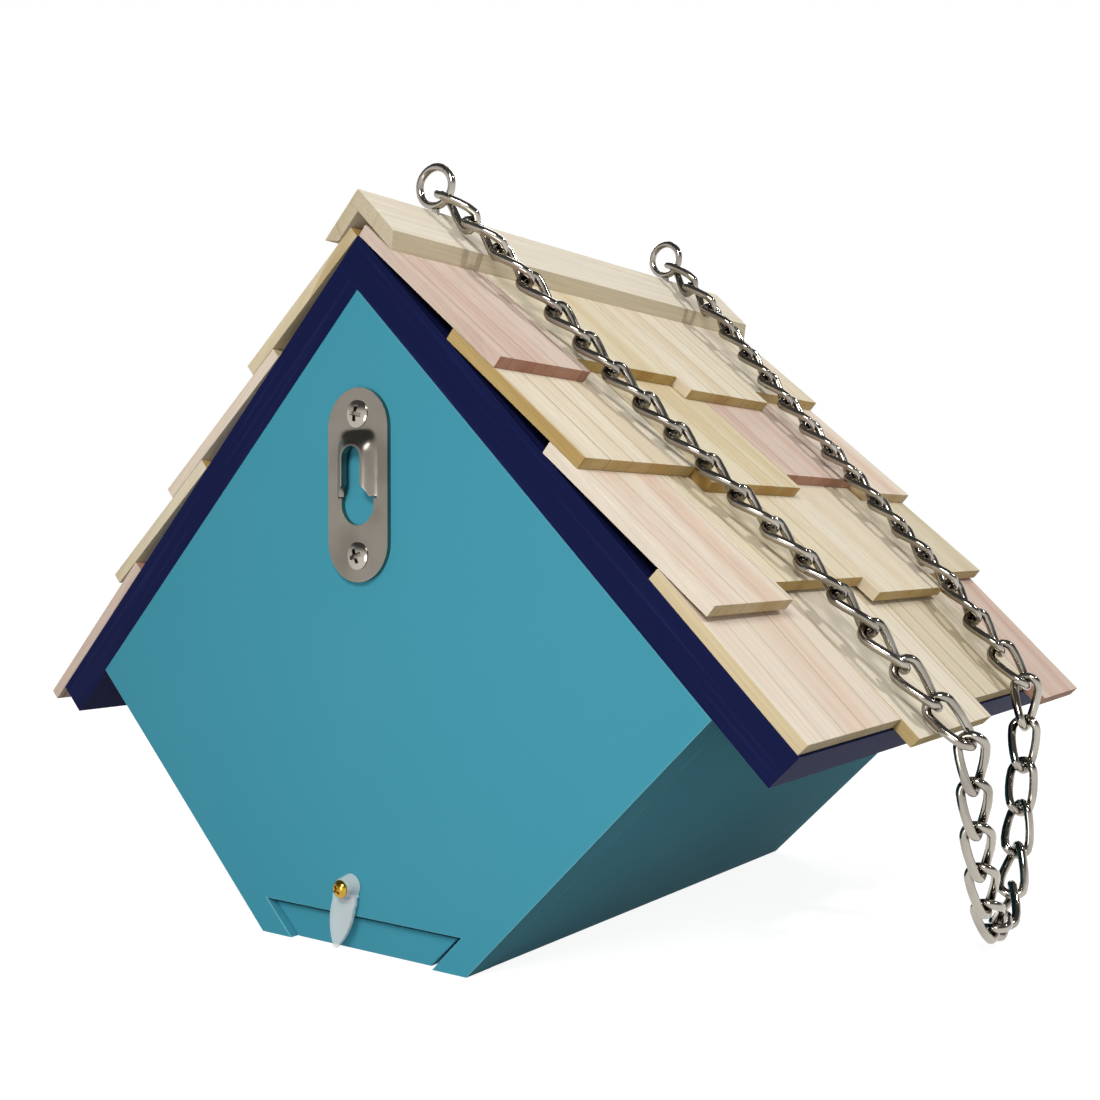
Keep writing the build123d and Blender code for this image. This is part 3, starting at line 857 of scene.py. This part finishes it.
def keyhole_sheet(name, half_width, straight):
    """A flat sheet of spokes from the keyhole's edge to the plate's outline."""
    bpy.ops.object.select_all(action="DESELECT")
    bpy.ops.mesh.primitive_circle_add(vertices=SPOKES, radius=1)
    sheet = bpy.context.active_object
    sheet.name = name
    bpy.ops.object.mode_set(mode="EDIT")
    bpy.ops.mesh.primitive_circle_add(vertices=SPOKES, radius=2)
    bpy.ops.object.mode_set(mode="OBJECT")
    # The small circle becomes the keyhole's edge, and the large one the outline
    for point in sheet.data.vertices:
        turn = math.atan2(point.co.x, point.co.y)
        if point.co.length < 1.5:
            hole = capsule_reach(turn, SPOKES_Z, KEYHOLE_Z, KEYHOLE_Z, KEYHOLE)
            reach = max(hole, capsule_reach(turn, SPOKES_Z, KEYHOLE_Z, SLOT_Z, SLOT))
        else:
            reach = capsule_reach(turn, SPOKES_Z, -straight, straight, half_width)
        point.co = (reach * math.sin(turn), 0, SPOKES_Z + reach * math.cos(turn))
    bpy.ops.object.mode_set(mode="EDIT")
    bpy.ops.mesh.select_mode(type="EDGE")
    bpy.ops.mesh.select_all(action="SELECT")
    bpy.ops.mesh.bridge_edge_loops(number_cuts=SPOKE_CUTS, interpolation="LINEAR")
    bpy.ops.object.mode_set(mode="OBJECT")
    return sheet


def raise_hood(sheet):
    """Presses the hood out of the sheet, and tears it free across the keyhole."""
    for point in sheet.data.vertices:
        point.co.y = -hood_rise(point.co.x, point.co.z)
    bpy.ops.object.mode_set(mode="EDIT")
    bpy.ops.mesh.select_mode(type="FACE")
    bpy.ops.mesh.select_all(action="DESELECT")
    bpy.ops.object.mode_set(mode="OBJECT")
    for face in sheet.data.polygons:
        corners = [sheet.data.vertices[i].co for i in face.vertices]
        heights = [corner.z for corner in corners]
        steps = [corner.y for corner in corners]
        at_cut = min(heights) < HOOD_Z <= max(heights)
        face.select = at_cut and max(steps) - min(steps) > HOOD_STEP
    bpy.ops.object.mode_set(mode="EDIT")
    bpy.ops.mesh.delete(type="FACE")
    bpy.ops.mesh.select_all(action="SELECT")
    if sheet.data.polygons[0].normal.y > 0:
        bpy.ops.mesh.flip_normals()
    bpy.ops.object.mode_set(mode="OBJECT")


def turn_lip_in(sheet):
    """Turns the hood's edge round the slot back towards the panel."""
    bpy.ops.object.mode_set(mode="EDIT")
    bpy.ops.mesh.select_mode(type="EDGE")
    bpy.ops.mesh.select_all(action="DESELECT")
    bpy.ops.object.mode_set(mode="OBJECT")
    for edge in sheet.data.edges:
        ends = [sheet.data.vertices[i].co for i in edge.vertices]
        edge.select = all(p.z > HOOD_Z and p.y < SAME_POINT - HOOD_RISE for p in ends)
    bpy.ops.object.mode_set(mode="EDIT")
    bpy.ops.mesh.extrude_region_move(TRANSFORM_OT_translate={"value": (0, HOOD_LIP, 0)})
    bpy.ops.object.mode_set(mode="OBJECT")


def make_hanger():
    """The pressed plate: a sheet between the keyhole and the outline, raised into an open hood."""
    low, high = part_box("keyhole_hanger")
    middle = (low + high) / 2
    half_width = (high.x - low.x) / 2
    straight = (high.z - low.z) / 2 - half_width
    hanger = keyhole_sheet("keyhole_hanger_finished", half_width, straight)
    raise_hood(hanger)
    turn_lip_in(hanger)
    apply_modifier(hanger, "SOLIDIFY", thickness=PLATE_T, offset=-1)
    hanger.data.transform(Matrix.Translation((middle.x, high.y - PLATE_T, middle.z)))
    round_edges(hanger, PRESSED_EDGE, segments=3)
    cover(hanger, PLATE_NICKEL)
    put_in_place(hanger, "keyhole_hanger", "house")


def shape_leaf(button, pivot, lean, front):
    """Narrows the leaf below its boss, and tapers the boss."""
    for point in button.data.vertices:
        place = lean.inverted() @ (point.co - pivot)
        if place.z < -BOSS_WALL[1]:
            point.co = pivot + lean @ Vector((LEAF_NARROW * place.x, place.y, place.z))
        away = math.hypot(point.co.x - pivot.x, point.co.z - pivot.z)
        if BOSS_WALL[0] < away < BOSS_WALL[1]:
            share = BOSS_FRONT if point.co.y < front + BOSS_EDGE else BOSS_FOOT
            point.co.x = pivot.x + share * (point.co.x - pivot.x)
            point.co.z = pivot.z + share * (point.co.z - pivot.z)


def make_button():
    """The moulded leaf, hollowed behind so that only its tapered boss is thick."""
    button = copy_of("turn_button", PLASTIC)
    low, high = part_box("turn_button")
    pivot = Vector(JOINTS["button_turn"]["pos_m"])
    lean = turn_about("Y", LEAF_LEAN)
    shape_leaf(button, pivot, lean, low.y)
    bpy.ops.object.select_all(action="DESELECT")
    bpy.ops.mesh.primitive_cube_add(size=1, location=(0, 0, 0))
    hollow = bpy.context.active_object
    reach = 2 * (high.z - low.z)
    hollow.data.transform(Matrix.Diagonal((reach, 2 * LEAF_HOLLOW, reach, 1)))
    hollow.data.transform(Matrix.Translation((0, 0, -BOSS_HALF / 2 - reach / 2)))
    hollow.data.transform(Matrix.Translation((pivot.x, high.y, pivot.z)) @ lean)
    cut_away(button, hollow)
    round_edges(button, MOULDED_EDGE, segments=3)
    put_in_place(button, "turn_button", "button")


# Stage


def light_world():
    """White for the camera, a white sweep that falls off to a dark ceiling in metal, and even light."""
    world = bpy.data.worlds.new("studio")
    bpy.context.scene.world = world
    world.use_nodes = True
    tree = world.node_tree
    tree.nodes.clear()
    way = add(tree, "ShaderNodeTexCoord").outputs["Generated"]
    height = add(tree, "ShaderNodeSeparateXYZ", {"Vector": way}).outputs["Z"]
    fall = add(
        tree,
        "ShaderNodeMapRange",
        {"Value": height, "From Min": 0.12, "From Max": 0.5, "To Min": 1, "To Max": 0.1},
        interpolation_type="SMOOTHSTEP",
    )
    path = add(tree, "ShaderNodeLightPath")
    mirrored = add(
        tree,
        "ShaderNodeMath",
        {0: path.outputs["Is Glossy Ray"], 1: path.outputs["Is Transmission Ray"]},
        operation="MAXIMUM",
    )
    even = add(tree, "ShaderNodeBackground", {"Color": WHITE, "Strength": EVEN_LIGHT})
    sweep = add(tree, "ShaderNodeBackground", {"Color": WHITE, "Strength": fall.outputs[0]})
    plain = add(tree, "ShaderNodeBackground", {"Color": WHITE, "Strength": 1})
    lit = add(
        tree,
        "ShaderNodeMixShader",
        {"Fac": mirrored.outputs[0], 1: even.outputs[0], 2: sweep.outputs[0]},
    )
    seen = add(
        tree,
        "ShaderNodeMixShader",
        {"Fac": path.outputs["Is Camera Ray"], 1: lit.outputs[0], 2: plain.outputs[0]},
    )
    add(tree, "ShaderNodeOutputWorld", {"Surface": seen.outputs[0]})


def lay_floor():
    """A pale floor, lifted to white for the camera and in mirrors, where it still shows the shadow."""
    bpy.ops.object.select_all(action="DESELECT")
    bpy.ops.mesh.primitive_plane_add(size=FLOOR_SIZE)
    floor = bpy.context.active_object
    floor.name = "floor"
    material, tree, shader = new_material("pale_floor", Roughness=0.9, Specular_IOR_Level=0.0)
    shader.inputs["Base Color"].default_value = linear("#8C8C8A")
    path = add(tree, "ShaderNodeLightPath")
    seen = path.outputs["Is Camera Ray"]
    for name in ("Is Glossy Ray", "Is Transmission Ray"):
        seen = add(tree, "ShaderNodeMath", {0: seen, 1: path.outputs[name]}, operation="MAXIMUM").outputs[0]
    lift = add(tree, "ShaderNodeMath", {0: seen, 1: FLOOR_LIFT}, operation="MULTIPLY")
    tree.links.new(lift.outputs[0], shader.inputs["Emission Strength"])
    shader.inputs["Emission Color"].default_value = WHITE
    floor.data.materials.append(material)


def hang_lamps():
    for name, (place, aim, size, power) in LAMPS.items():
        lamp = bpy.data.lights.new(name, "AREA")
        lamp.shape = "DISK"
        lamp.size = size
        lamp.energy = power
        holder = bpy.data.objects.new(name, lamp)
        bpy.context.scene.collection.objects.link(holder)
        holder.visible_camera = False
        holder.location = place
        holder.rotation_euler = (Vector(aim) - Vector(place)).to_track_quat("-Z", "Y").to_euler()


def set_camera():
    lens = bpy.data.cameras.new("camera")
    lens.lens = CAMERA_LENS
    lens.clip_start = CAMERA_NEAR
    camera = bpy.data.objects.new("camera", lens)
    bpy.context.scene.collection.objects.link(camera)
    camera.location = CAMERA_AT
    camera.rotation_euler = [math.radians(a) for a in CAMERA_TURN]
    bpy.context.scene.camera = camera


paint_boards()
paint_roof_boards()
lay_roof()
make_chain()
make_hanger_screws()
make_brass_screw()
make_screw_eyes()
make_hanger()
make_button()
light_world()
lay_floor()
hang_lamps()
set_camera()
bpy.context.scene.view_settings.view_transform = "Standard"
